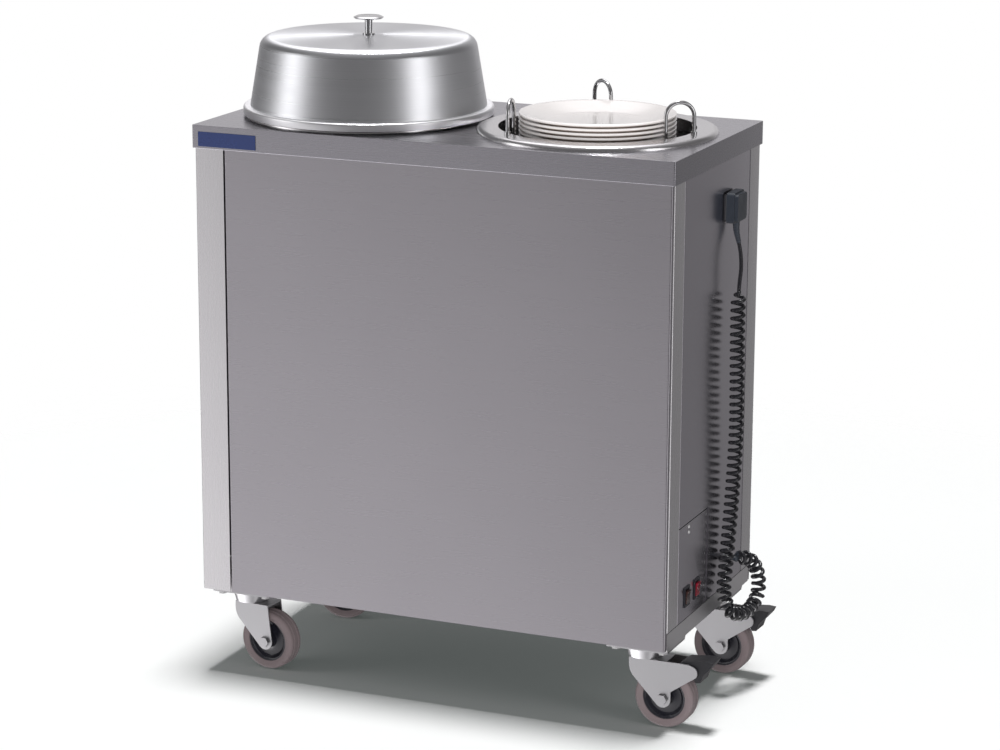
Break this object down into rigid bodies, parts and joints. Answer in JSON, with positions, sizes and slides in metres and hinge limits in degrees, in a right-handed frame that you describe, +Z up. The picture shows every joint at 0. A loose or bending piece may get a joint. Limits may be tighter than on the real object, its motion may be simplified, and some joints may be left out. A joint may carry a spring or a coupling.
{
  "type": "heated plate dispenser",
  "caption": "Mobile heated plate dispenser: steel case on braked castors, sprung wells with wire guides, one under a domed lid, one full of plates, with a curly mains lead.",
  "frame": {"origin": "on the floor, under the middle of the whole outline from the lid's side to the brake pedals", "axes": "+X along the case towards the end with the switches and the lead, +Y from front to back, +Z up"},
  "size_m": [0.8946, 0.424, 1.0958],
  "materials": {
    "cover_steel": "fine brushed, worn",
    "panel_steel": "brushed across the width",
    "post_steel": "brushed up and down",
    "base_steel": "dull mill finish",
    "ring_steel": "spun, polished bead",
    "tube_steel": "plain sheet",
    "heater_sheath": "heat-darkened sheath",
    "thermostat_case": "plain",
    "terminal_plastic": "plain",
    "bezel_plastic": "fine texture",
    "rocker_dark": "smoked lens",
    "rocker_red": "translucent lens",
    "fitting_plastic": "fine texture",
    "plug_rubber": "fine texture",
    "lead_rubber": "satin",
    "badge_paint": "plain gloss enamel",
    "guide_wire": "bright wire",
    "lid_metal": "spun and polished",
    "knob_chrome": "bright",
    "carrier_steel": "plain",
    "spring_wire": "oiled wire",
    "plate_glaze": "clear glaze",
    "castor_zinc": "pale zinc plate",
    "tyre_rubber": "non-marking grey",
    "hub_plastic": "moulded",
    "pedal_plastic": "moulded",
    "fastener_zinc": "zinc plate",
    "bracket_steel": "mill finish"
  },
  "bodies": {
    "case": {"top_cover": "cover_steel", "front_panel": "panel_steel", "rear_panel": "panel_steel", "left_end_panel": "panel_steel", "right_end_panel": "panel_steel", "control_hatch": "panel_steel", "post_front_left": "post_steel", "post_front_right": "post_steel", "post_back_left": "post_steel", "post_back_right": "post_steel", "chassis_base": "base_steel", "castor_plates": "castor_zinc", "chassis_fasteners": "fastener_zinc", "hatch_bracket": "bracket_steel", "hatch_screws": "fastener_zinc", "well_ring_left": "ring_steel", "well_ring_right": "ring_steel", "well_tube_left": "tube_steel", "well_tube_right": "tube_steel", "heater_left": "heater_sheath", "heater_right": "heater_sheath", "thermostat": "thermostat_case", "terminal_block": "terminal_plastic", "rocker_bezels": "bezel_plastic", "cable_gland": "fitting_plastic", "park_socket": "fitting_plastic", "badge_plate": "badge_paint", "springs_left": "spring_wire", "springs_right": "spring_wire", "mains_plug": "plug_rubber", "lead_upper": "lead_rubber", "lead_coil": "lead_rubber"},
    "lid": {"lid_dome": "lid_metal", "lid_knob": "knob_chrome"},
    "carrier_left": {"carrier_left": "carrier_steel"},
    "carrier_right": {"carrier_right": "carrier_steel"},
    "plates": {"plate_stack": "plate_glaze"},
    "guide_left_1": {"guide_left_1": "guide_wire"},
    "guide_left_2": {"guide_left_2": "guide_wire"},
    "guide_left_3": {"guide_left_3": "guide_wire"},
    "guide_right_1": {"guide_right_1": "guide_wire"},
    "guide_right_2": {"guide_right_2": "guide_wire"},
    "guide_right_3": {"guide_right_3": "guide_wire"},
    "swivel_front_left": {"fork_front_left": "castor_zinc"},
    "wheel_front_left": {"tyre_front_left": "tyre_rubber", "hub_front_left": "hub_plastic"},
    "swivel_front_right": {"fork_front_right": "castor_zinc"},
    "wheel_front_right": {"tyre_front_right": "tyre_rubber", "hub_front_right": "hub_plastic"},
    "brake_front_right": {"pedal_front_right": "pedal_plastic"},
    "swivel_back_left": {"fork_back_left": "castor_zinc"},
    "wheel_back_left": {"tyre_back_left": "tyre_rubber", "hub_back_left": "hub_plastic"},
    "swivel_back_right": {"fork_back_right": "castor_zinc"},
    "wheel_back_right": {"tyre_back_right": "tyre_rubber", "hub_back_right": "hub_plastic"},
    "brake_back_right": {"pedal_back_right": "pedal_plastic"},
    "rocker_power": {"rocker_power": "rocker_dark"},
    "rocker_heat": {"rocker_heat": "rocker_red"}
  },
  "joints": [
    {"name": "carrier_left_lift", "type": "slide", "parent": "case", "child": "carrier_left", "axis": [0, 0, 1], "range_m": [-0.45, 0], "stiffness_N_per_m": 780, "springref_m": 0.03151, "deforming": ["springs_left"]},
    {"name": "carrier_right_lift", "type": "slide", "parent": "case", "child": "carrier_right", "axis": [0, 0, 1], "range_m": [-0.44, 0.009], "stiffness_N_per_m": 780, "springref_m": 0.09994, "deforming": ["springs_right"]},
    {"name": "lid_lift_off", "type": "slide", "parent": "case", "child": "lid", "axis": [0, 0, 1], "range_m": [0, 0.3]},
    {"name": "plates_lift_out", "type": "slide", "parent": "carrier_right", "child": "plates", "axis": [0, 0, 1], "range_m": [0, 0.25]},
    {"name": "guide_left_1_turn", "type": "hinge", "parent": "case", "child": "guide_left_1", "pos_m": [-0.07075, -0.00874, 0.932], "axis": [0, 0, 1], "range_deg": [-2.5, 30]},
    {"name": "guide_left_2_turn", "type": "hinge", "parent": "case", "child": "guide_left_2", "pos_m": [-0.30278, 0.15372, 0.932], "axis": [0, 0, 1], "range_deg": [-0.5, 32]},
    {"name": "guide_left_3_turn", "type": "hinge", "parent": "case", "child": "guide_left_3", "pos_m": [-0.33803, -0.13337, 0.932], "axis": [0, 0, 1], "range_deg": [-13.5, 19]},
    {"name": "guide_right_1_turn", "type": "hinge", "parent": "case", "child": "guide_right_1", "pos_m": [0.34175, -0.00874, 0.932], "axis": [0, 0, 1], "range_deg": [-2.5, 30]},
    {"name": "guide_right_2_turn", "type": "hinge", "parent": "case", "child": "guide_right_2", "pos_m": [0.10972, 0.15372, 0.932], "axis": [0, 0, 1], "range_deg": [-0.5, 32]},
    {"name": "guide_right_3_turn", "type": "hinge", "parent": "case", "child": "guide_right_3", "pos_m": [0.07447, -0.13337, 0.932], "axis": [0, 0, 1], "range_deg": [-13.5, 19]},
    {"name": "front_left_swivel", "type": "hinge", "parent": "case", "child": "swivel_front_left", "pos_m": [-0.38628, -0.142, 0.114], "axis": [0, 0, 1], "continuous": true},
    {"name": "front_left_roll", "type": "hinge", "parent": "swivel_front_left", "child": "wheel_front_left", "pos_m": [-0.34848, -0.14597, 0.05], "axis": [0.1045, 0.9945, 0], "continuous": true},
    {"name": "front_right_swivel", "type": "hinge", "parent": "case", "child": "swivel_front_right", "pos_m": [0.32372, -0.142, 0.114], "axis": [0, 0, 1], "continuous": true},
    {"name": "front_right_roll", "type": "hinge", "parent": "swivel_front_right", "child": "wheel_front_right", "pos_m": [0.36172, -0.14266, 0.05], "axis": [0.0175, 0.9998, 0], "continuous": true},
    {"name": "front_right_brake", "type": "hinge", "parent": "swivel_front_right", "child": "brake_front_right", "pos_m": [0.40971, -0.1435, 0.101], "axis": [0.0175, 0.9998, 0], "range_deg": [0, 18]},
    {"name": "back_left_swivel", "type": "hinge", "parent": "case", "child": "swivel_back_left", "pos_m": [-0.38628, 0.142, 0.114], "axis": [0, 0, 1], "continuous": true},
    {"name": "back_left_roll", "type": "hinge", "parent": "swivel_back_left", "child": "wheel_back_left", "pos_m": [-0.34865, 0.14729, 0.05], "axis": [-0.1392, 0.9903, 0], "continuous": true},
    {"name": "back_right_swivel", "type": "hinge", "parent": "case", "child": "swivel_back_right", "pos_m": [0.32372, 0.142, 0.114], "axis": [0, 0, 1], "continuous": true},
    {"name": "back_right_roll", "type": "hinge", "parent": "swivel_back_right", "child": "wheel_back_right", "pos_m": [0.3617, 0.14067, 0.05], "axis": [0.0349, 0.9994, 0], "continuous": true},
    {"name": "back_right_brake", "type": "hinge", "parent": "swivel_back_right", "child": "brake_back_right", "pos_m": [0.40967, 0.139, 0.101], "axis": [0.0349, 0.9994, 0], "range_deg": [0, 18]},
    {"name": "rocker_power_press", "type": "hinge", "parent": "case", "child": "rocker_power", "pos_m": [0.38122, -0.1135, 0.211], "axis": [0, -1, 0], "range_deg": [0, 16]},
    {"name": "rocker_heat_press", "type": "hinge", "parent": "case", "child": "rocker_heat", "pos_m": [0.38122, -0.0665, 0.211], "axis": [0, -1, 0], "range_deg": [0, 16]}
  ]
}
